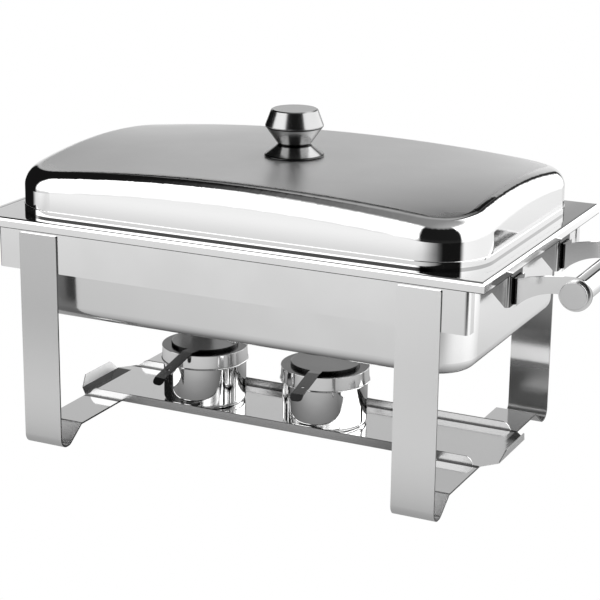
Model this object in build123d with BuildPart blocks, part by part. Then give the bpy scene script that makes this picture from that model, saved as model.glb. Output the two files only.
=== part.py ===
from build123d import *
import os
from math import cos, radians, sin, tan

# Chafing dish food warmer, millimetres, +Z up.
# Origin: on the floor, under the middle of the dish. X runs along the length, Y from front to back.

# ---- stand ----
FLOOR_TO_RIM = 257.5        # top face of the water pan's rim
LEG_WIDTH = 46.5            # leg strip, measured along X
LEG_X = 219.0               # middle of each leg strip
STRIP = 2.0                 # thickness of the leg strips and rails
FRAME_HALF_DEPTH = 175.0    # front face of the front legs
LEG_TOP = 242.0
FOOT_RADIUS = 12.0          # outer radius of the curled foot
LEDGE_TOP = 18.5            # upper face of the cross strip that carries the burner tray
LEDGE_HALF = 132.4          # where the cross strip meets the sloping part of the foot
RAMP_ANGLE = 34.0           # slope between foot and cross strip, degrees
RAIL_BOTTOM = 200.5
RAIL_HALF_LENGTH = 270.7
RAIL_RETURN = 14.0          # length of the rail ends that are bent towards the pan

# ---- water pan ----
RIM_LENGTH, RIM_WIDTH = 575.4, 362.0
RIM_HEIGHT = 11.0           # flat rim with its edge turned down
RIM_BEND = 4.0
PAN_WALL = 0.8
PAN_LENGTH, PAN_WIDTH = 519.0, 315.0
PAN_DEPTH = 111.5
PAN_CORNER = 47.0
PAN_BOTTOM_RADIUS = 14.0
PAN_DRAFT = 1.1

# ---- food pan, gastronorm 1/1, 65 mm deep ----
FOOD_FLANGE_L, FOOD_FLANGE_W = 530.0, 325.0
FOOD_BODY_L, FOOD_BODY_W = 506.0, 302.0
FOOD_DEPTH = 65.0
FOOD_CORNER = 42.0
FOOD_WALL = 0.8
FOOD_DRAFT = 6.0

# ---- lid ----
LID_LENGTH, LID_WIDTH = 538.0, 330.0
LID_CORNER = 60.0
LID_SHEET = 1.0
LID_FOOT_HEIGHT = 8.5
LID_STEP = 0.8              # how far the foot stands out from the wall
LID_LEAN = 0.5              # lean of the wall, degrees
LID_TOP = 317.0             # crown of the arch at the middle
LID_REACH, LID_SPAN = 290.0, 175.0     # where the three drops of the crown are measured
LID_END_DROP = 1.5          # crown, middle to end
LID_SIDE_DROP = 0.3         # crown, middle to side
LID_CORNER_DROP = 25.0      # further drop of the side edges at the ends
LID_FOLD = 22.0             # fold between wall and crown

# ---- knob ----
KNOB_FLANGE_R, KNOB_WAIST_R, KNOB_RIDGE_R, KNOB_CROWN_R = 32.5, 17.6, 31.6, 25.5
KNOB_FLANGE_H, KNOB_WAIST_H, KNOB_RIDGE_H, KNOB_H = 2.6, 13.2, 33.9, 51.4
KNOB_CAVITY_R, KNOB_BOSS_R, KNOB_WALL = 14.6, 7.5, 4.0
KNOB_SCREW_R = 3.0

# ---- end handles ----
SHEET = 2.5                 # brackets and arms
GUSSET_Y = 77.5             # outer face of the gusset plates
ARM_SHIFT = 13.0            # the arm stands this far to one side of its gusset
BRACKET_X = 276.9           # mating plane of bracket and arm
BRACKET_BOTTOM, BRACKET_FLANGE_TOP = 203.8, 238.0
FLANGE_REACH = 38.0
EYE_X, EYE_Z, EYE_R = 340.0, 223.0, 17.3
TUBE_R, TUBE_BORE = 13.0, 11.5
CAP_R, CAP_THICK = 14.3, 5.5
RIVET_R = 2.5
RIVET_HEIGHTS = (211.0, 224.0)

# ---- burner tray ----
TRAY_SHEET = 1.0
TRAY_Y = 8.0                # the tray lies a little behind the middle
TRAY_HALF_WIDTH = 58.5
TRAY_FULL_X = 243.0         # full width up to here, then the corners are cut
TRAY_END_X, TRAY_END_HALF_WIDTH = 258.5, 40.0
TRAY_FLANGE = 10.0
FLANGE_END_X, FLANGE_TOP_X = 236.0, 225.0
LIP_HEIGHT, LIP_SLANT, LIP_CUT = 12.5, 17.0, 12.3

# ---- burners ----
BURNERS = {                 # middle; heading, droop and side shift of the snuffer's arm
    "left": (-113.5, 4.3, -10.0, 20.0, 12.0),
    "right": (40.4, 1.0, 6.0, 8.0, 2.5),
}
CUP_R, CUP_WALL, CUP_BASE_R = 47.6, 0.8, 6.0
RING_TOP = 65.5             # top face of the cover ring above the tray
RING_R, RING_HOLE_R, RING_SHEET = 49.3, 30.0, 0.8
SKIRT_R, SKIRT_HEIGHT, SKIRT_FLARE = 48.6, 16.0, 3.0
BEAD_R = 1.0
SNUFFER_R, SNUFFER_SHEET, SNUFFER_RISE = 38.5, 0.9, 4.0
ARM_WIDTH, ARM_FLAT, ARM_LENGTH, FLAP_LENGTH = 14.0, 46.0, 52.0, 9.0
ARM_HOLE_R = 2.0
PIVOT_X, PIVOT_Y, PIVOT_R, PIVOT_HEAD_R = 32.2, 11.7, 1.6, 2.8

os.makedirs("parts", exist_ok=True)


def save(part, name):
    """Label a finished piece and write its STEP file."""
    part.label = name
    export_step(part, f"parts/{name}.step")


# =====================================================================
# Stand: two leg strips and two rails, welded where they touch
# =====================================================================
ledge_bottom = LEDGE_TOP - STRIP
ramp_foot_y = LEDGE_HALF + ledge_bottom / tan(radians(RAMP_ANGLE))
half_path = [
    (FRAME_HALF_DEPTH, LEG_TOP),
    (FRAME_HALF_DEPTH, 0),
    (ramp_foot_y, 0),
    (LEDGE_HALF, ledge_bottom),
]
strip_path = [(-y, z) for y, z in half_path] + list(reversed(half_path))
strip_radii = [FOOT_RADIUS, FOOT_RADIUS - 2, 3, 3, FOOT_RADIUS - 2, FOOT_RADIUS]

for end, side in (("left", -1), ("right", 1)):
    with BuildPart() as leg_frame:
        with BuildSketch(Plane.YZ.offset(side * LEG_X)):
            with BuildLine():
                FilletPolyline(*strip_path, radius=strip_radii)
                offset(amount=STRIP, side=Side.LEFT)
            make_face()
        extrude(amount=LEG_WIDTH / 2, both=True)
        top_corners = leg_frame.edges().filter_by(Axis.Y).group_by(Axis.Z)[-1]
        fillet(top_corners, radius=1.5)
    save(leg_frame.part, f"{end}_leg_frame")

rim_underside = FLOOR_TO_RIM - PAN_WALL
rail_face = FRAME_HALF_DEPTH - STRIP
for name, side in (("front", -1), ("rear", 1)):
    rail_path = [
        (-RAIL_HALF_LENGTH, side * (rail_face - RAIL_RETURN)),
        (-RAIL_HALF_LENGTH, side * rail_face),
        (RAIL_HALF_LENGTH, side * rail_face),
        (RAIL_HALF_LENGTH, side * (rail_face - RAIL_RETURN)),
    ]
    with BuildPart() as rail:
        with BuildSketch(Plane.XY.offset(RAIL_BOTTOM)):
            with BuildLine():
                FilletPolyline(*rail_path, radius=5)
                offset(amount=STRIP, side=Side.LEFT if side < 0 else Side.RIGHT)
            make_face()
        extrude(amount=rim_underside - RAIL_BOTTOM)
    save(rail.part, f"{name}_rail")

# =====================================================================
# Water pan: deep pan with a wide flat rim whose edge is turned down
# =====================================================================
with BuildPart() as pan_envelope:
    with BuildSketch(Plane.XY.offset(rim_underside)):
        RectangleRounded(PAN_LENGTH, PAN_WIDTH, PAN_CORNER)
    extrude(amount=-(PAN_DEPTH - PAN_WALL), taper=PAN_DRAFT)
    fillet(pan_envelope.faces().sort_by(Axis.Z)[0].edges(), radius=PAN_BOTTOM_RADIUS)

with BuildPart() as pan_hollow:
    with BuildSketch(Plane.XY.offset(FLOOR_TO_RIM)):
        RectangleRounded(
            PAN_LENGTH - 2 * PAN_WALL, PAN_WIDTH - 2 * PAN_WALL, PAN_CORNER - PAN_WALL
        )
    extrude(amount=-(PAN_DEPTH - PAN_WALL), taper=PAN_DRAFT)
    fillet(
        pan_hollow.faces().sort_by(Axis.Z)[0].edges(), radius=PAN_BOTTOM_RADIUS - PAN_WALL
    )

with BuildPart() as rim_hollow:
    with BuildSketch(Plane.XY.offset(FLOOR_TO_RIM - RIM_HEIGHT)):
        Rectangle(RIM_LENGTH - 2 * PAN_WALL, RIM_WIDTH - 2 * PAN_WALL)
    extrude(amount=RIM_HEIGHT - PAN_WALL)
    fillet(rim_hollow.faces().sort_by(Axis.Z)[-1].edges(), radius=RIM_BEND - PAN_WALL)

with BuildPart() as water_pan:
    with BuildSketch(Plane.XY.offset(FLOOR_TO_RIM - RIM_HEIGHT)):
        Rectangle(RIM_LENGTH, RIM_WIDTH)
    extrude(amount=RIM_HEIGHT)
    fillet(water_pan.faces().sort_by(Axis.Z)[-1].edges(), radius=RIM_BEND)
    add(rim_hollow.part, mode=Mode.SUBTRACT)
    add(pan_envelope.part)
    add(pan_hollow.part, mode=Mode.SUBTRACT)
save(water_pan.part, "water_pan")

# =====================================================================
# Food pan: gastronorm 1/1, its flange rests on the water pan's rim
# =====================================================================
with BuildPart() as food_hollow:
    with BuildSketch(Plane.XY.offset(FLOOR_TO_RIM + FOOD_WALL)):
        RectangleRounded(
            FOOD_BODY_L - 2 * FOOD_WALL, FOOD_BODY_W - 2 * FOOD_WALL, FOOD_CORNER - FOOD_WALL
        )
    extrude(amount=-FOOD_DEPTH, taper=FOOD_DRAFT)
    fillet(food_hollow.faces().sort_by(Axis.Z)[0].edges(), radius=14 - FOOD_WALL)

with BuildPart() as food_pan:
    with BuildSketch(Plane.XY.offset(FLOOR_TO_RIM)):
        RectangleRounded(FOOD_BODY_L, FOOD_BODY_W, FOOD_CORNER)
    extrude(amount=-FOOD_DEPTH, taper=FOOD_DRAFT)
    fillet(food_pan.faces().sort_by(Axis.Z)[0].edges(), radius=14)
    with BuildSketch(Plane.XY.offset(FLOOR_TO_RIM)):
        RectangleRounded(FOOD_FLANGE_L, FOOD_FLANGE_W, FOOD_CORNER + 10)
    extrude(amount=FOOD_WALL)
    add(food_hollow.part, mode=Mode.SUBTRACT)
save(food_pan.part, "food_pan")


# =====================================================================
# Lid: arched crown, leaning walls, and a stepped-out foot on the rim
# =====================================================================
def lid_section(x, crown, bottom):
    """Upright face across the lid at x; its arched top falls away towards the ends."""
    share = (x / LID_REACH) ** 2
    middle = crown - LID_END_DROP * share
    side = middle - LID_SIDE_DROP - LID_CORNER_DROP * share
    with BuildSketch(Plane.YZ.offset(x)) as section:
        with BuildLine():
            arch = ThreePointArc((-LID_SPAN, side), (0, middle), (LID_SPAN, side))
            Polyline(arch @ 1, (LID_SPAN, bottom), (-LID_SPAN, bottom), arch @ 0)
        make_face()
    return section.sketch


def lid_body(inset, crown, bottom, fold):
    """Solid with leaning walls under a crown arched both ways, inset from the outer skin."""
    length = LID_LENGTH - 2 * (LID_STEP + inset)
    width = LID_WIDTH - 2 * (LID_STEP + inset)
    with BuildPart() as vault:
        for share in (-1, -0.5, 0, 0.5, 1):
            add(lid_section(share * LID_REACH, crown, bottom - 1))
        loft()
    with BuildPart() as body:
        with BuildSketch(Plane.XY.offset(bottom)):
            RectangleRounded(length, width, LID_CORNER - LID_STEP - inset)
        extrude(amount=crown - bottom + 10, taper=LID_LEAN)
        add(vault.part, mode=Mode.INTERSECT)
        fillet(body.faces().sort_by(Axis.Z)[-1].edges(), radius=fold)
    return body.part


lid_ledge = FLOOR_TO_RIM + LID_FOOT_HEIGHT
lid_outside = lid_body(0, LID_TOP, lid_ledge - LID_SHEET, LID_FOLD)
lid_inside = lid_body(LID_SHEET, LID_TOP - LID_SHEET, FLOOR_TO_RIM, LID_FOLD - LID_SHEET)

with BuildPart() as lid_shell:
    with BuildSketch(Plane.XY.offset(FLOOR_TO_RIM)):
        RectangleRounded(LID_LENGTH, LID_WIDTH, LID_CORNER)
    extrude(amount=LID_FOOT_HEIGHT)
    fillet(lid_shell.faces().sort_by(Axis.Z)[-1].edges(), radius=0.7)
    add(lid_outside)
    with BuildSketch(Plane.XY.offset(FLOOR_TO_RIM)):
        RectangleRounded(
            LID_LENGTH - 2 * LID_SHEET, LID_WIDTH - 2 * LID_SHEET, LID_CORNER - LID_SHEET
        )
    extrude(amount=LID_FOOT_HEIGHT - LID_SHEET, mode=Mode.SUBTRACT)
    add(lid_inside, mode=Mode.SUBTRACT)
    with Locations((0, 0, LID_TOP)):
        Hole(radius=KNOB_SCREW_R + 0.2, depth=10)
save(lid_shell.part, "lid_shell")

with BuildPart() as lid_knob:
    with BuildSketch(Plane.XZ):
        with BuildLine():
            Polyline(
                (0, LID_TOP),
                (KNOB_FLANGE_R - 1.2, LID_TOP),
                (KNOB_FLANGE_R, LID_TOP + 1.2),
                (KNOB_FLANGE_R, LID_TOP + KNOB_FLANGE_H - 0.6),
                (KNOB_FLANGE_R - 0.8, LID_TOP + KNOB_FLANGE_H),
                (KNOB_WAIST_R, LID_TOP + KNOB_WAIST_H),
                (KNOB_RIDGE_R, LID_TOP + KNOB_RIDGE_H - 1.0),
                (KNOB_RIDGE_R, LID_TOP + KNOB_RIDGE_H + 0.4),
                (KNOB_CROWN_R, LID_TOP + KNOB_H - 1.0),
                (KNOB_CROWN_R - 1.6, LID_TOP + KNOB_H),
                (0, LID_TOP + KNOB_H),
                close=True,
            )
        make_face()
    revolve(axis=Axis.Z)
    # hollow from below, around a boss for the screw
    with BuildSketch(Plane.XY.offset(LID_TOP)):
        Circle(KNOB_CAVITY_R)
        Circle(KNOB_BOSS_R, mode=Mode.SUBTRACT)
    extrude(amount=KNOB_H - KNOB_WALL, mode=Mode.SUBTRACT)
    with BuildSketch(Plane.XY.offset(LID_TOP)):
        Circle(KNOB_SCREW_R)
    extrude(amount=16, mode=Mode.SUBTRACT)
save(lid_knob.part, "lid_knob")

washer_top = LID_TOP - LID_SHEET - 0.02
with BuildPart() as knob_washer:
    with BuildSketch(Plane.XY.offset(washer_top)):
        Circle(9)
        Circle(KNOB_SCREW_R + 0.2, mode=Mode.SUBTRACT)
    extrude(amount=-1.2)
save(knob_washer.part, "knob_washer")

with BuildPart() as knob_screw:
    with BuildSketch(Plane.XY.offset(washer_top - 1.2)):
        Circle(6)
    extrude(amount=-3.6)
    fillet(knob_screw.edges().group_by(Axis.Z)[0], radius=1.2)
    with BuildSketch(Plane.XY.offset(washer_top - 1.2)):
        Circle(KNOB_SCREW_R - 0.05)
    extrude(amount=15)
    with BuildSketch(Plane.XY.offset(washer_top - 4.8)):
        Rectangle(5, 1.2)
        Rectangle(1.2, 5)
    extrude(amount=1.8, mode=Mode.SUBTRACT)
save(knob_screw.part, "knob_screw")

# =====================================================================
# End handles: gusset brackets under the rim, arms riveted to them,
# and a tube with capped ends between the two arms of each end.
# The left handle is the right one turned half a turn about Z.
# =====================================================================
END_TURN = {"right": 0, "left": 180}
rivet_pairs = []


def corner_name(end, position):
    """Name of a corner of the dish for a piece drawn at the right-hand end."""
    if end == "right":
        return f"right_{position}"
    return "left_rear" if position == "front" else "left_front"


for position, gusset_y in (("front", -GUSSET_Y), ("rear", GUSSET_Y - SHEET)):
    rivet_y = gusset_y + 0.74 * FLANGE_REACH
    with BuildPart() as rivet_bores:
        with BuildSketch(Plane.YZ.offset(BRACKET_X - 2 * SHEET)):
            with Locations(*[(rivet_y, height) for height in RIVET_HEIGHTS]):
                Circle(RIVET_R + 0.1)
        extrude(amount=4 * SHEET)

    wall_x = PAN_LENGTH / 2 - PAN_DEPTH * tan(radians(PAN_DRAFT)) / 2
    bracket_path = [
        (wall_x - 8, gusset_y),
        (BRACKET_X, gusset_y),
        (BRACKET_X, gusset_y + FLANGE_REACH),
    ]
    with BuildPart() as bracket:
        with BuildSketch(Plane.XY.offset(BRACKET_BOTTOM)):
            with BuildLine():
                FilletPolyline(*bracket_path, radius=3.6)
                offset(amount=SHEET, side=Side.LEFT)
            make_face()
        extrude(amount=rim_underside - BRACKET_BOTTOM)
        # lower corner of the gusset cut at 45 degrees
        with BuildSketch(Plane.XZ):
            with BuildLine():
                Polyline(
                    (BRACKET_X - 4.3, BRACKET_BOTTOM),
                    (BRACKET_X - 44.3, BRACKET_BOTTOM + 40),
                    (BRACKET_X - 44.3, BRACKET_BOTTOM),
                    close=True,
                )
            make_face()
        extrude(amount=200, both=True, mode=Mode.SUBTRACT)
        # the flange stops below the rim, the gusset runs up to it
        with BuildSketch(Plane.YZ.offset(BRACKET_X - SHEET)):
            with Locations((gusset_y + 5, BRACKET_FLANGE_TOP)):
                Rectangle(FLANGE_REACH, 60, align=(Align.MIN, Align.MIN))
        extrude(amount=2 * SHEET, mode=Mode.SUBTRACT)
        add(rivet_bores.part, mode=Mode.SUBTRACT)
        add(pan_envelope.part, mode=Mode.SUBTRACT)

    # side view of the arm: it narrows towards the eye
    neck = (EYE_X - 18, 221.5)
    with BuildSketch(Plane.XZ) as arm_profile:
        with BuildLine():
            upper = ThreePointArc(
                (BRACKET_X, 231.0), (EYE_X - 32, 237.8), (EYE_X, EYE_Z + EYE_R)
            )
            Polyline(upper @ 1, (EYE_X, EYE_Z), neck)
            lower = ThreePointArc(neck, (BRACKET_X + 19, 214.8), (BRACKET_X, 200.0))
            Line(lower @ 1, upper @ 0)
        make_face()
        with Locations((EYE_X, EYE_Z)):
            Circle(EYE_R)

    arm_y = gusset_y + ARM_SHIFT
    arm_path = [
        (BRACKET_X, gusset_y + FLANGE_REACH),
        (BRACKET_X, arm_y),
        (EYE_X + 2 * EYE_R, arm_y),
    ]
    with BuildPart() as arm:
        with BuildSketch(Plane.XY.offset(BRACKET_BOTTOM - 10)):
            with BuildLine():
                FilletPolyline(*arm_path, radius=3.6)
                offset(amount=SHEET, side=Side.LEFT)
            make_face()
        extrude(amount=60)
        extrude(arm_profile.sketch, amount=200, both=True, mode=Mode.INTERSECT)
        with BuildSketch(Plane.XZ):
            with Locations((EYE_X, EYE_Z)):
                Circle(TUBE_R + 0.05)
        extrude(amount=200, both=True, mode=Mode.SUBTRACT)
        add(rivet_bores.part, mode=Mode.SUBTRACT)

    with BuildPart() as rivets:
        for height in RIVET_HEIGHTS:
            with BuildSketch(Plane.YZ.offset(BRACKET_X - SHEET)):
                with Locations((rivet_y, height)):
                    Circle(RIVET_R)
            extrude(amount=2 * SHEET)
            for face_x, outward in ((BRACKET_X - SHEET, -1), (BRACKET_X + SHEET, 1)):
                with BuildSketch(Plane.YZ.offset(face_x)):
                    with Locations((rivet_y, height)):
                        Circle(4.2)
                extrude(amount=outward * 1.8)
        head_rims = rivets.edges().filter_by(GeomType.CIRCLE).group_by(Axis.X)
        fillet(head_rims[0] + head_rims[-1], radius=1.1)

    for end, turn in END_TURN.items():
        corner = corner_name(end, position)
        save(bracket.part.rotate(Axis.Z, turn), f"{corner}_handle_bracket")
        save(arm.part.rotate(Axis.Z, turn), f"{corner}_handle_arm")
        rivet_pairs.append(rivets.part.rotate(Axis.Z, turn))

with BuildPart() as handle_rivets:
    for pair in rivet_pairs:
        add(pair)
save(handle_rivets.part, "handle_rivets")

grip_front = -GUSSET_Y + ARM_SHIFT
grip_rear = GUSSET_Y + ARM_SHIFT
with BuildPart() as handle_tube:
    with BuildSketch(Plane.XZ.offset(-grip_front)):
        with Locations((EYE_X, EYE_Z)):
            Circle(TUBE_R)
            Circle(TUBE_BORE, mode=Mode.SUBTRACT)
    extrude(amount=-(grip_rear - grip_front))

with BuildPart() as tube_cap:
    with BuildSketch(Plane.XZ.offset(-grip_front)):
        with Locations((EYE_X, EYE_Z)):
            Circle(CAP_R)
    extrude(amount=CAP_THICK)
    fillet(tube_cap.edges().group_by(Axis.Y)[0], radius=0.8)
    with BuildSketch(Plane.XZ.offset(-grip_front)):
        with Locations((EYE_X, EYE_Z)):
            Circle(TUBE_BORE - 0.05)
    extrude(amount=-12)

rear_cap = tube_cap.part.mirror(Plane.XZ).translate((0, grip_front + grip_rear, 0))
for end, turn in END_TURN.items():
    save(handle_tube.part.rotate(Axis.Z, turn), f"{end}_handle_tube")
    save(tube_cap.part.rotate(Axis.Z, turn), f"{corner_name(end, 'front')}_tube_cap")
    save(rear_cap.rotate(Axis.Z, turn), f"{corner_name(end, 'rear')}_tube_cap")

# =====================================================================
# Burner tray: lies loose across the two cross strips and slides out
# =====================================================================
flange_inner = TRAY_HALF_WIDTH - TRAY_SHEET
with BuildPart() as burner_tray:
    with BuildSketch(Plane.XY.offset(LEDGE_TOP)):
        with Locations((0, TRAY_Y)):
            Polygon(
                (-TRAY_END_X, -TRAY_END_HALF_WIDTH),
                (-TRAY_FULL_X, -TRAY_HALF_WIDTH),
                (TRAY_FULL_X, -TRAY_HALF_WIDTH),
                (TRAY_END_X, -TRAY_END_HALF_WIDTH),
                (TRAY_END_X, TRAY_END_HALF_WIDTH),
                (TRAY_FULL_X, TRAY_HALF_WIDTH),
                (-TRAY_FULL_X, TRAY_HALF_WIDTH),
                (-TRAY_END_X, TRAY_END_HALF_WIDTH),
            )
    extrude(amount=TRAY_SHEET)
    # long flanges, their ends swept down in a curve
    for side in (-1, 1):
        flange_plane = Plane.XZ.offset(-(TRAY_Y + side * (TRAY_HALF_WIDTH - TRAY_SHEET / 2)))
        with BuildSketch(flange_plane):
            with BuildLine():
                top = Line(
                    (-FLANGE_TOP_X, LEDGE_TOP + TRAY_FLANGE),
                    (FLANGE_TOP_X, LEDGE_TOP + TRAY_FLANGE),
                )
                right_sweep = TangentArc(top @ 1, (FLANGE_END_X, LEDGE_TOP + 0.4), tangent=(1, 0))
                bottom = Line(right_sweep @ 1, (-FLANGE_END_X, LEDGE_TOP + 0.4))
                TangentArc(top @ 0, bottom @ 1, tangent=(-1, 0))
            make_face()
        extrude(amount=TRAY_SHEET / 2, both=True)
    # end lips, leaning outwards
    for side in (-1, 1):
        lean = radians(LIP_SLANT)
        lip_plane = Plane(
            origin=(side * TRAY_END_X, TRAY_Y, LEDGE_TOP),
            x_dir=(0, side, 0),
            z_dir=(side * cos(lean), 0, -sin(lean)),
        )
        with BuildSketch(lip_plane):
            Polygon(
                (-TRAY_END_HALF_WIDTH, 0),
                (TRAY_END_HALF_WIDTH, 0),
                (TRAY_END_HALF_WIDTH - LIP_CUT, LIP_HEIGHT),
                (-TRAY_END_HALF_WIDTH + LIP_CUT, LIP_HEIGHT),
                align=None,
            )
        extrude(amount=-TRAY_SHEET)
save(burner_tray.part, "burner_tray")

# =====================================================================
# Burners: cup, cover ring, and a snuffer that swings on a rivet
# =====================================================================
tray_top = LEDGE_TOP + TRAY_SHEET
ring_top = tray_top + RING_TOP
ring_under = ring_top - RING_SHEET
cup_top = ring_under
skirt_foot_r = SKIRT_R + SKIRT_HEIGHT * tan(radians(SKIRT_FLARE)) - 0.1

with BuildPart() as cup:
    with BuildSketch(Plane.XY.offset(tray_top)):
        Circle(CUP_R)
    extrude(amount=cup_top - tray_top)
    fillet(cup.edges().group_by(Axis.Z)[0], radius=CUP_BASE_R)
    offset(amount=-CUP_WALL, openings=cup.faces().sort_by(Axis.Z)[-1])

with BuildPart() as ring:
    with BuildSketch(Plane.XY.offset(ring_top)):
        Circle(RING_R)
    extrude(amount=-RING_SHEET)
    with BuildSketch(Plane.XY.offset(ring_top)):
        Circle(SKIRT_R)
    extrude(amount=-SKIRT_HEIGHT, taper=-SKIRT_FLARE)
    # round bead at the lower edge of the skirt
    with BuildSketch(Plane.XZ):
        with Locations((skirt_foot_r, ring_top - SKIRT_HEIGHT)):
            Circle(BEAD_R)
    revolve(axis=Axis.Z)
    with BuildSketch(Plane.XY.offset(ring_under)):
        Circle(CUP_R + 0.1)
    extrude(amount=-SKIRT_HEIGHT - BEAD_R, mode=Mode.SUBTRACT)
    fillet(ring.edges().group_by(Axis.Z)[-1], radius=0.4)
    with BuildSketch(Plane.XY.offset(ring_top)):
        Circle(RING_HOLE_R)
        with Locations((PIVOT_X, PIVOT_Y)):
            Circle(PIVOT_R)
    extrude(amount=-RING_SHEET, mode=Mode.SUBTRACT)
    # small round dimples pressed into the skirt
    with Locations(Location((0, 0, ring_top - 8))):
        with PolarLocations(CUP_R + 3, 6, start_angle=-35):
            Sphere(2.3, mode=Mode.SUBTRACT)

snuffer_foot = ring_top + 0.2
snuffer_top = ring_top + SNUFFER_RISE
snuffer_under = snuffer_top - SNUFFER_SHEET

with BuildPart() as pivot:
    with BuildSketch(Plane.XY.offset(ring_under)) as shank:
        with Locations((PIVOT_X, PIVOT_Y)):
            Circle(PIVOT_R)
    extrude(amount=snuffer_top + 0.05 - ring_under)
    with BuildSketch(Plane.XY.offset(ring_under)) as lower_head:
        with Locations((PIVOT_X, PIVOT_Y)):
            Circle(PIVOT_HEAD_R)
    extrude(amount=-0.8)
    with BuildSketch(Plane.XY.offset(ring_top)) as shoulder:
        with Locations((PIVOT_X, PIVOT_Y)):
            Circle(PIVOT_R + 0.9)
    extrude(amount=snuffer_under - 0.05 - ring_top)
    with BuildSketch(Plane.XY.offset(snuffer_top + 0.05)) as upper_head:
        with Locations((PIVOT_X, PIVOT_Y)):
            Circle(PIVOT_HEAD_R)
    extrude(amount=1)
    fillet(pivot.edges().group_by(Axis.Z)[-1], radius=0.7)

for name, (burner_x, burner_y, heading, droop, side_shift) in BURNERS.items():
    slope = radians(droop)
    dip = slope + radians(25)
    elbow = (-ARM_FLAT, snuffer_top)
    tip = (-ARM_FLAT - ARM_LENGTH * cos(slope), snuffer_top - ARM_LENGTH * sin(slope))
    flap_end = (tip[0] - FLAP_LENGTH * cos(dip), tip[1] - FLAP_LENGTH * sin(dip))
    with BuildPart() as snuffer:
        with BuildSketch(Plane.XY.offset(snuffer_foot)):
            Circle(SNUFFER_R)
        extrude(amount=snuffer_top - snuffer_foot)
        fillet(snuffer.edges().group_by(Axis.Z)[-1], radius=1.2)
        with BuildSketch(Plane.XY.offset(snuffer_foot)):
            Circle(SNUFFER_R - SNUFFER_SHEET)
        extrude(amount=snuffer_under - snuffer_foot, mode=Mode.SUBTRACT)
        # strip handle, bent down outside the cup, its tip bent once more
        with BuildSketch(Plane.YZ.offset(side_shift)):
            with BuildLine():
                FilletPolyline((9 - SNUFFER_R, snuffer_top), elbow, tip, flap_end, radius=2.5)
                offset(amount=SNUFFER_SHEET, side=Side.LEFT)
            make_face()
        extrude(amount=ARM_WIDTH / 2, both=True)
        tip_corners = snuffer.edges().filter_by_position(
            Axis.Y, flap_end[0] - 1, flap_end[0] + 0.5
        ).filter_by(lambda edge: edge.length < SNUFFER_SHEET + 0.1)
        fillet(tip_corners, radius=5)
        with BuildSketch(Plane.XY.offset(snuffer_top)):
            with Locations((side_shift, -ARM_FLAT - 0.66 * ARM_LENGTH)):
                Circle(ARM_HOLE_R)
            with Locations((PIVOT_X, PIVOT_Y)):
                Circle(PIVOT_R + 0.1)
        extrude(amount=-40, mode=Mode.SUBTRACT)

    place = Location((burner_x, burner_y, 0), (0, 0, heading))
    save(place * cup.part, f"{name}_burner_cup")
    save(place * ring.part, f"{name}_cover_ring")
    save(place * pivot.part, f"{name}_snuffer_rivet")
    save(place * snuffer.part, f"{name}_snuffer")
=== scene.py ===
import math

import bpy
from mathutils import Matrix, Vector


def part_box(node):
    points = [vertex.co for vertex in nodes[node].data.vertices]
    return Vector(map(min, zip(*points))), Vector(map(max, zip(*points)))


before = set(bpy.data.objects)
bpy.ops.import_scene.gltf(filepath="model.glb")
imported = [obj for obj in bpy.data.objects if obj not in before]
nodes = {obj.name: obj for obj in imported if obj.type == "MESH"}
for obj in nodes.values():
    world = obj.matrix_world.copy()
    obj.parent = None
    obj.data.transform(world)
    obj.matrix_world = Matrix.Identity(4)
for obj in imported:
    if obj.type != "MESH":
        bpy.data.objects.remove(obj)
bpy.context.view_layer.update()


# ---------------------------------------------------------------- node helpers
def graph(name):
    """A new material with its tree and shader."""
    material = bpy.data.materials.new(name)
    material.use_nodes = True
    tree = material.node_tree
    return material, tree, tree.nodes["Principled BSDF"]


def link(tree, a, b):
    tree.links.new(a, b)


def calculate(tree, operation, first, second=None, third=None):
    """A maths node over sockets or plain numbers."""
    node = tree.nodes.new("ShaderNodeMath")
    node.operation = operation
    for socket, value in zip(node.inputs, (first, second, third)):
        if value is None:
            continue
        if isinstance(value, (int, float)):
            socket.default_value = value
        else:
            link(tree, value, socket)
    return node.outputs["Value"]


def step(tree, value, start, end):
    """0 below start, 1 above end, smooth between; runs down when end is below start."""
    node = tree.nodes.new("ShaderNodeMapRange")
    node.interpolation_type = "SMOOTHSTEP"
    low, high = min(start, end), max(start, end)
    node.inputs["From Min"].default_value = low
    node.inputs["From Max"].default_value = high
    node.inputs["To Min"].default_value = 0.0 if start < end else 1.0
    node.inputs["To Max"].default_value = 1.0 if start < end else 0.0
    link(tree, value, node.inputs["Value"])
    return node.outputs["Result"]


def ramp(tree, value, low, high, stops):
    """Grey levels over a value that runs from low to high: stops are (value, grey)."""
    scaled = tree.nodes.new("ShaderNodeMapRange")
    scaled.inputs["From Min"].default_value = low
    scaled.inputs["From Max"].default_value = high
    link(tree, value, scaled.inputs["Value"])
    node = tree.nodes.new("ShaderNodeValToRGB")
    points = node.color_ramp.elements
    while len(points) < len(stops):
        points.new(0.5)
    for point, (place, grey) in zip(points, stops):
        point.position = (place - low) / (high - low)
        point.color = (grey, grey, grey, 1)
    link(tree, scaled.outputs["Result"], node.inputs["Fac"])
    return node.outputs["Color"]


def blend(tree, factor, first, second):
    """A mix of two values, each a socket or a grey level."""
    node = tree.nodes.new("ShaderNodeMix")
    node.data_type = "RGBA"
    link(tree, factor, node.inputs["Factor"])
    for name, value in (("A", first), ("B", second)):
        if isinstance(value, (int, float)):
            node.inputs[name].default_value = (value, value, value, 1)
        else:
            link(tree, value, node.inputs[name])
    return node.outputs["Result"]


def axes(tree, source):
    """The X, Y and Z sockets of the object-space place ("Object") or normal ("Normal")."""
    split = tree.nodes.new("ShaderNodeSeparateXYZ")
    link(tree, tree.nodes.new("ShaderNodeTexCoord").outputs[source], split.inputs["Vector"])
    return split.outputs


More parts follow.
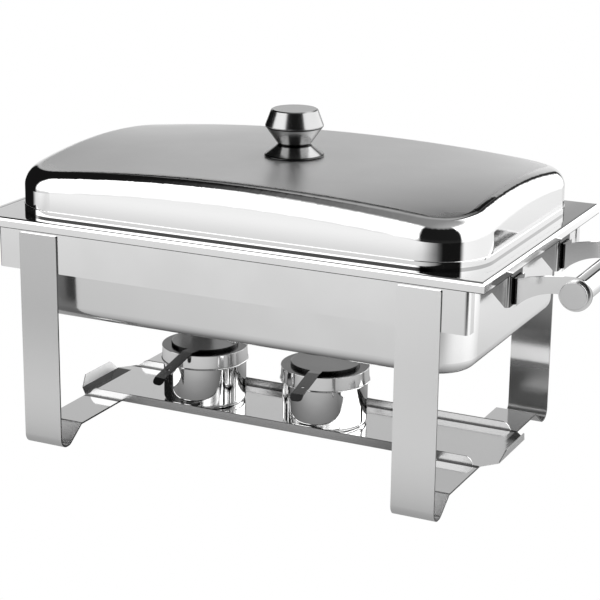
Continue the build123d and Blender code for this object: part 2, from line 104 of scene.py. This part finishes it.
def noise(tree, scale, detail=3.0, stretch=(1, 1, 1)):
    """Noise in object space, stretched along the axes."""
    mapping = tree.nodes.new("ShaderNodeMapping")
    mapping.inputs["Scale"].default_value = stretch
    link(tree, tree.nodes.new("ShaderNodeTexCoord").outputs["Object"], mapping.inputs["Vector"])
    node = tree.nodes.new("ShaderNodeTexNoise")
    node.inputs["Scale"].default_value = scale
    node.inputs["Detail"].default_value = detail
    link(tree, mapping.outputs["Vector"], node.inputs["Vector"])
    return node.outputs["Fac"]


# ---------------------------------------------------------------- masks
def facing(axis, start, end):
    """The faces that look along an axis, either way."""
    def mask(tree):
        return step(tree, calculate(tree, "ABSOLUTE", axes(tree, "Normal")[axis]), start, end)
    return mask


def placed(axis, start, end):
    """The part of an object beyond a place on an axis."""
    def mask(tree):
        return step(tree, axes(tree, "Object")[axis], start, end)
    return mask


def beyond(centre, start, end):
    """The part of an object away from an upright line."""
    def mask(tree):
        across, along, _ = axes(tree, "Object")
        across = calculate(tree, "POWER", calculate(tree, "SUBTRACT", across, centre[0]), 2)
        along = calculate(tree, "POWER", calculate(tree, "SUBTRACT", along, centre[1]), 2)
        reach = calculate(tree, "SQRT", calculate(tree, "ADD", across, along))
        return step(tree, reach, start, end)
    return mask


def outline(start, end):
    """The sides of a round part, where it turns away from the eye: moves with the camera. Tones over
    it paint shade there.
    """
    def mask(tree):
        return step(tree, tree.nodes.new("ShaderNodeLayerWeight").outputs["Facing"], start, end)
    return mask


def outward(start, end):
    """The faces of the stand that look away from its middle, front and back."""
    def mask(tree):
        away = calculate(tree, "MULTIPLY", axes(tree, "Object")[1], axes(tree, "Normal")[1])
        return step(tree, away, start, end)
    return mask


def both(first, second):
    """Where two masks meet."""
    def mask(tree):
        return calculate(tree, "MULTIPLY", first(tree), second(tree))
    return mask


# ---------------------------------------------------------------- materials
def steel(name, tone, gloss, grain=(1, 1, 1), grain_depth=0.02, smudge=0.02, wave=0.0,
          wave_scale=9.0, duller=(), tones=()):
    """Stainless steel with a grain along one axis, faint smudges and waviness.

    duller lists (mask, added roughness), tones lists (mask, grey level). They stand for rougher cut
    edges, for painted shade in seams, gaps, creases, hems and along cut edges, and for painted light
    and dark reflections that the studio doesn't give.
    """
    material, tree, shader = graph(name)
    shader.inputs["Metallic"].default_value = 1.0
    fine = noise(tree, 420.0, 2.0, grain)
    cloud = step(tree, noise(tree, 14.0, 4.0), 0.3, 0.7)
    colour = blend(tree, cloud, tone - smudge, tone + smudge)
    for mask, level in tones:
        colour = blend(tree, mask(tree), colour, level)
    link(tree, colour, shader.inputs["Base Color"])
    roughness = calculate(tree, "MULTIPLY_ADD", fine, 0.02, gloss)
    for mask, amount in duller:
        roughness = calculate(tree, "MULTIPLY_ADD", mask(tree), amount, roughness)
    link(tree, roughness, shader.inputs["Roughness"])
    bump = tree.nodes.new("ShaderNodeBump")
    bump.inputs["Strength"].default_value = grain_depth
    bump.inputs["Distance"].default_value = 0.0002
    link(tree, fine, bump.inputs["Height"])
    if wave:
        swell = tree.nodes.new("ShaderNodeBump")
        swell.inputs["Strength"].default_value = wave
        swell.inputs["Distance"].default_value = 0.002
        link(tree, noise(tree, wave_scale, 1.0), swell.inputs["Height"])
        link(tree, swell.outputs["Normal"], bump.inputs["Normal"])
    link(tree, bump.outputs["Normal"], shader.inputs["Normal"])
    return material


def middle(name):
    """Plan centre of a part."""
    low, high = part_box(name)
    return (low[0] + high[0]) / 2, (low[1] + high[1]) / 2


def at_height(level, start, end):
    """The part of an object above a height, with start and end measured from that level."""
    return placed(2, level + start, level + end)


# Many tones below follow a place or a normal. They were fitted to the reference view, and stand
# for painted shade in seams, gaps and creases and for painted reflections there, not for known
# finishes.
RIM_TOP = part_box("water_pan")[1][2]
KNOB_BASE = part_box("lid_knob")[0][2]
TRAY_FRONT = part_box("burner_tray")[0][1]
TRAY_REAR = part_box("burner_tray")[1][1]

# Painted shadow: the lid's foot is painted dark where it sits on the rim, for the crevice there.
LID_FOOT_SHADE = at_height(RIM_TOP, 0.0022, 0.0017)            # the lid's foot, where it sits on the rim
RIM_LIP = at_height(RIM_TOP, -0.0101, -0.0105)      # lower edge of the pan's turned-down rim
PAN_BODY = at_height(RIM_TOP, -0.0113, -0.0120)     # the pan below its rim
LID_WALL = facing(1, 0.9, 0.99)                     # the long walls

lid_steel = steel(
    "lid_steel", 0.86, 0.035, grain_depth=0.006, wave=0.02,
    duller=[(facing(2, 0.97, 0.998), 0.32), (facing(0, 0.9, 1.0), 0.05)],
    # Painted light and shade on the lid: its ends a little darker, its long walls lighter high up and
    # darker towards the foot, and a dark line along the foot as painted shadow of the crevice on the
    # rim.
    tones=[(facing(0, 0.6, 0.95), 0.79), (LID_WALL, 0.78),
           (both(LID_WALL, at_height(RIM_TOP, 0.0085, 0.0305)), 1.0),
           (both(LID_FOOT_SHADE, facing(0, 0.5, 0.2)), 0.04), (both(LID_FOOT_SHADE, facing(0, 0.2, 0.5)), 0.45)],
)

PAN_END = facing(0, 0.8, 1.0)
RIM_RIGHT = both(placed(0, 0.2, 0.275), facing(2, 0.8, 1.0))        # right end of the rim's top

pan_steel = steel(
    "pan_steel", 0.85, 0.05, (1, 40, 40), wave=0.015, duller=[(PAN_BODY, 0.09)],
    # Painted light and shade on the pan: its body darker towards the left end, its ends lighter, the
    # right end of the rim's top darker, and a dark line at the rim's lower edge as painted shadow of
    # the gap over the rail.
    tones=[(both(PAN_BODY, placed(0, 0.15, -0.27)), 0.76), (PAN_END, 1.0), (RIM_RIGHT, 0.34),
           (both(RIM_LIP, at_height(RIM_TOP, -0.0112, -0.0109)), 0.05)],
)

LEVEL = facing(2, 0.9, 1.0)                 # level faces: cross strips, tray floor, ring tops
RAMP = both(facing(2, 0.70, 0.75), facing(2, 0.93, 0.88))           # sloping faces
OUTER = outward(0.08, 0.12)
LOW_INSIDE = both(outward(-0.08, -0.12), placed(2, 0.066, 0.056))   # inner faces near the table
# A painted shadow line on the legs' level faces just in front of the tray, for the gap under it.
TRAY_EDGE_LINE = both(
    placed(1, TRAY_FRONT - 0.0045, TRAY_FRONT - 0.0040), placed(1, TRAY_FRONT + 0.0005, TRAY_FRONT),
)
TRAY_GAP_SHADOW = both(LEVEL, TRAY_EDGE_LINE)


def leg_steel(name, front, foot, edge_shade):
    """Steel of a leg strip, with painted light and shade: the tone of its outer face, a foot painted
    lighter, level and sloping faces painted lighter, cut edges painted darker as shade, and a painted
    shadow line by the tray.
    """
    return steel(
        name, 0.32, 0.07, (1, 1, 60),
        duller=[(OUTER, 0.16), (RAMP, 0.35), (LOW_INSIDE, 0.22)],
        tones=[(OUTER, front), (both(OUTER, placed(2, 0.17, 0.01)), foot), (LEVEL, 0.95),
               (RAMP, 0.95), (facing(0, 0.6, 0.8), edge_shade), (TRAY_GAP_SHADOW, 0.02)],
    )


# The two legs are lit and shaded copies of one steel: the left one painted darker, the right one
# lighter.
left_leg_steel_shaded = leg_steel("left_leg_steel_shaded", 0.61, 1.0, 0.12)
right_leg_steel_lit = leg_steel("right_leg_steel_lit", 0.84, 1.0, 0.3)
rail_steel = steel(
    "rail_steel", 0.85, 0.14, (1, 60, 60),
    # The rail's top edge is painted white, a painted highlight.
    tones=[(at_height(RIM_TOP, -0.0116, -0.0112), 1.0)],
)

TRAY_FLANGE = facing(1, 0.6, 0.9)
TRAY_LIP = facing(0, 0.3, 0.5)
# Painted shade in the creases at the rear ends of the tray's floor, by the lips.
LEFT_LIP_CREASE_SHADE = both(placed(0, -0.2390, -0.2396), placed(1, 0.050, 0.046))
RIGHT_LIP_CREASE_SHADE = both(placed(0, 0.2420, 0.2430), placed(1, 0.025, 0.045))

tray_steel = steel(
    "tray_steel", 1.0, 0.10, (1, 40, 40),
    duller=[(TRAY_FLANGE, 0.15), (TRAY_LIP, 0.25)],
    # Painted shade on the tray: the rear flange and the flanges' ends darker, the left lip darker, and
    # a dark line in the crease before the rear flange. The flanges are also darker along their top
    # edge.
    tones=[(both(TRAY_FLANGE, placed(1, 0.0, 0.01)), 0.38),
           (both(TRAY_FLANGE, placed(0, 0.05, 0.2)), 0.42),
           (both(TRAY_FLANGE, placed(0, -0.15, -0.2)), 0.55),
           (both(both(TRAY_LIP, facing(2, 0.95, 0.9)), placed(0, 0.1, 0.0)), 0.60),
           (both(TRAY_FLANGE, placed(2, 0.0276, 0.0280)), 0.15),
           (both(LEVEL, placed(1, TRAY_REAR - 0.0055, TRAY_REAR - 0.0049)), 0.03),
           (both(LEVEL, LEFT_LIP_CREASE_SHADE), 0.01),
           (both(LEVEL, RIGHT_LIP_CREASE_SHADE), 0.12)],
)

# The cups and tubes are painted dark at their sides, as painted shade.
cup_steel = steel(
    "cup_steel", 0.86, 0.04, (40, 40, 1), 0.01, wave=0.08, wave_scale=40.0,
    tones=[(outline(0.80, 0.97), 0.08)],
)
tube_steel = steel("tube_steel", 0.86, 0.06, (1, 60, 1), 0.01, tones=[(outline(0.8, 0.97), 0.1)])
ring_steel = steel(
    "ring_steel", 0.88, 0.06, grain_depth=0.01, wave=0.08, wave_scale=40.0,
    duller=[(LEVEL, 0.10)],
    # The ring tops are painted dark: painted shade from the pan above them.
    tones=[(LEVEL, 0.20), (outline(0.80, 0.97), 0.08)],
)
# The faces of the brackets and arms that look along the dish are painted dark, as painted shade.
bracket_steel = steel("bracket_steel", 0.62, 0.08, (60, 1, 60), tones=[(facing(0, 0.6, 0.9), 0.03)])
arm_steel = steel("arm_steel", 0.84, 0.08, (60, 1, 60), tones=[(facing(0, 0.6, 0.9), 0.15)])

# Painted marks on the knob: two dark rings as painted reflections and a darker foot as painted shade
# where it meets the lid.
KNOB_LOW_LINE = both(at_height(KNOB_BASE, 0.0114, 0.0120), at_height(KNOB_BASE, 0.0146, 0.0140))
KNOB_HIGH_LINE = both(at_height(KNOB_BASE, 0.0314, 0.0318), at_height(KNOB_BASE, 0.0336, 0.0332))
KNOB_FOOT = at_height(KNOB_BASE, 0.0032, 0.0028)

chrome = steel(
    "chrome", 0.38, 0.18, grain_depth=0.01,
    # The knob's level faces are painted lighter and its sides darker, as painted light and shade.
    tones=[(LEVEL, 0.62), (outline(0.75, 0.95), 0.03), (KNOB_LOW_LINE, 0.03),
           (KNOB_HIGH_LINE, 0.04), (KNOB_FOOT, 0.05)],
)
satin = steel("satin", 0.74, 0.28)
# The snuffers are painted dark as painted shade under the pan, with their sides nearly black.
snuffer_steels = {
    side: steel(
        side + "_snuffer_steel", 0.25, 0.16, grain_depth=0.01,
        tones=[(beyond(middle(side + "_burner_cup"), 0.0392, 0.0396), 0.26),
               (facing(2, 0.86, 0.8), 0.02)],
    )
    for side in ("left", "right")
}

FINISH = {
    "lid_shell": lid_steel,
    "lid_knob": chrome,
    "water_pan": pan_steel,
    "food_pan": satin,
    "burner_tray": tray_steel,
    "front_rail": rail_steel,
    "rear_rail": rail_steel,
    "left_leg_frame": left_leg_steel_shaded,
    "right_leg_frame": right_leg_steel_lit,
    "left_snuffer": snuffer_steels["left"],
    "right_snuffer": snuffer_steels["right"],
    "handle_rivets": satin,
    "knob_screw": satin,
    "knob_washer": satin,
}
ENDINGS = {
    "handle_bracket": bracket_steel,
    "handle_arm": arm_steel,
    "tube_cap": satin,
    "handle_tube": tube_steel,
    "burner_cup": cup_steel,
    "cover_ring": ring_steel,
    "snuffer_rivet": satin,
}
for name, node in nodes.items():
    material = FINISH.get(name)
    for ending, choice in ENDINGS.items():
        if name.endswith(ending):
            material = choice
    for index in range(len(node.material_slots)):
        node.material_slots[index].material = material

# ---------------------------------------------------------------- studio
PANEL = 2.1                     # brightness of the white panels

world = bpy.data.worlds.new("studio")
world.use_nodes = True
bpy.context.scene.world = world
sky = world.node_tree
toward_x, toward_y, toward_z = axes(sky, "Generated")
turn = calculate(sky, "DEGREES", calculate(sky, "ARCTAN2", toward_y, toward_x))
rise = calculate(sky, "DEGREES", calculate(sky, "ARCSINE", toward_z))

# Brightness by direction: white at the front left and on the right, grey at the back left, black
# flags between. Stops are (degrees, grey) or, for the ceiling, (x, grey), and were fitted so that
# the steel shows the bands of the reference view: this is not a plain soft studio.
around = ramp(sky, turn, -180, 180, [
    (-180, 0.004), (-164, 0.004), (-158, 1.0), (-106, 1.0), (-99, 0.005), (-23, 0.006),
    (-19, 1.0), (82, 1.0), (86, 0.01), (91, 0.01), (93, 0.2), (133, 0.2), (136, 0.004), (180, 0.004),
])
below = ramp(sky, turn, -180, 180, [
    (-180, 0.004), (-164, 0.004), (-158, 0.3), (-106, 0.3), (-99, 0.01), (-23, 0.01),
    (-19, 0.6), (80, 0.6), (92, 0.3), (133, 0.3), (136, 0.004), (180, 0.004),
])
above = ramp(sky, toward_x, -1, 1, [
    (-0.6, 0.018), (-0.5, 0.034), (-0.35, 0.08), (-0.25, 0.12), (0.0, 0.13), (0.5, 0.24),
])
backdrop = ramp(sky, rise, -90, 90, [
    (-6, 0.42), (2, 0.42), (7, 0.39), (12, 0.34), (17, 0.26), (22, 0.215), (29, 0.195),
    (30.5, 0.004), (37, 0.004), (40, 0.07), (60, 0.10),
])
over_horizon = step(sky, rise, -8, 6)
to_ceiling = step(sky, rise, 54, 68)
behind = calculate(
    sky, "MULTIPLY",
    ramp(sky, turn, -180, 180, [(91, 0), (93, 1), (133, 1), (136, 0)]),
    step(sky, rise, 52, 44),
)
room = blend(sky, over_horizon, below, around)
room = blend(sky, to_ceiling, room, above)
room = blend(sky, behind, room, backdrop)
background = sky.nodes["Background"]
background.inputs["Strength"].default_value = PANEL
link(sky, room, background.inputs["Color"])
paper = sky.nodes.new("ShaderNodeBackground")
paper.inputs["Color"].default_value = (1, 1, 1, 1)
chooser = sky.nodes.new("ShaderNodeMixShader")
link(sky, sky.nodes.new("ShaderNodeLightPath").outputs["Is Camera Ray"], chooser.inputs["Fac"])
link(sky, background.outputs["Background"], chooser.inputs[1])
link(sky, paper.outputs["Background"], chooser.inputs[2])
link(sky, chooser.outputs["Shader"], sky.nodes["World Output"].inputs["Surface"])

# The table is a disc that only glows. The camera sees it plain white, like the world around it.
# The steel mirrors a pattern painted on it instead: painted shadow under the dish and near the
# camera, painted light on the right, black far out in the directions of the flags.
TABLE_RADIUS = 1.8
TABLE_CORNERS = 120
FLAG_DARK = 0.008               # the table where it is black
HALF_LENGTH, HALF_WIDTH = 0.27, 0.17        # the shaded place under the dish

turns = [2 * math.pi * k / TABLE_CORNERS for k in range(TABLE_CORNERS)]
table_edge = [(TABLE_RADIUS * math.cos(a), TABLE_RADIUS * math.sin(a), 0) for a in turns]
floor_mesh = bpy.data.meshes.new("floor")
floor_mesh.from_pydata(table_edge, [], [tuple(range(TABLE_CORNERS))])
floor = bpy.data.objects.new("floor", floor_mesh)
bpy.context.scene.collection.objects.link(floor)
floor_material, table, plain_shader = graph("floor_white_and_painted_shade")
table.nodes.remove(plain_shader)
across, along, _ = axes(table, "Object")
outside = calculate(             # distance outside the dish's outline
    table, "MAXIMUM",
    calculate(table, "SUBTRACT", calculate(table, "ABSOLUTE", across), HALF_LENGTH),
    calculate(table, "SUBTRACT", calculate(table, "ABSOLUTE", along), HALF_WIDTH),
)
shade = ramp(table, outside, -0.2, 1.8, [
    (-0.1, 0.12), (-0.02, 0.26), (0.06, 0.46), (0.15, 0.58), (0.3, 0.67), (0.6, 0.73),
    (0.8, 0.78), (1.0, 0.92), (1.2, 0.84), (1.5, 0.70),
])
# Painted shadow on the table near the camera.
near_lens = calculate(
    table, "MULTIPLY", step(table, across, -0.1, 0.8), step(table, along, -0.3, -0.8),
)
shade = blend(table, near_lens, shade, 0.12)
# Painted light on the table to the right.
right_side = calculate(
    table, "MULTIPLY", step(table, across, 0.35, 0.9), step(table, along, -0.8, -0.3),
)
shade = blend(table, right_side, shade, 1.1)
# the far part of the table is black in the directions of the flags
bearing = calculate(table, "DEGREES", calculate(table, "ARCTAN2", along, across))
flagged = ramp(table, bearing, -180, 180, [
    (-180, 1), (-168, 1), (-160, 0), (-62, 0), (-52, 1), (-25, 1), (-18, 0), (136, 0), (142, 1),
    (180, 1),
])
distance = calculate(
    table, "SQRT",
    calculate(table, "ADD", calculate(table, "POWER", across, 2), calculate(table, "POWER", along, 2)),
)
flagged = calculate(table, "MULTIPLY", flagged, step(table, distance, 0.85, 1.15))
shade = blend(table, flagged, shade, FLAG_DARK)
glow = table.nodes.new("ShaderNodeEmission")
link(table, shade, glow.inputs["Color"])
white = table.nodes.new("ShaderNodeEmission")
seen = table.nodes.new("ShaderNodeMixShader")
link(table, table.nodes.new("ShaderNodeLightPath").outputs["Is Camera Ray"], seen.inputs["Fac"])
link(table, glow.outputs["Emission"], seen.inputs[1])
link(table, white.outputs["Emission"], seen.inputs[2])
link(table, seen.outputs["Shader"], table.nodes["Material Output"].inputs["Surface"])
floor.data.materials.append(floor_material)

bpy.context.scene.view_settings.view_transform = "Standard"

camera_data = bpy.data.cameras.new("camera")
camera = bpy.data.objects.new("camera", camera_data)
bpy.context.scene.collection.objects.link(camera)
TILT_DOWN, TURN_LEFT = 16.57, 27.93         # degrees
camera.location = (0.85233, -1.75618, 0.73406)
camera.rotation_euler = (math.radians(90 - TILT_DOWN), 0, math.radians(TURN_LEFT))
camera_data.lens = 110.19
camera_data.sensor_width = 36.0
camera_data.shift_x = 0.1167
bpy.context.scene.camera = camera
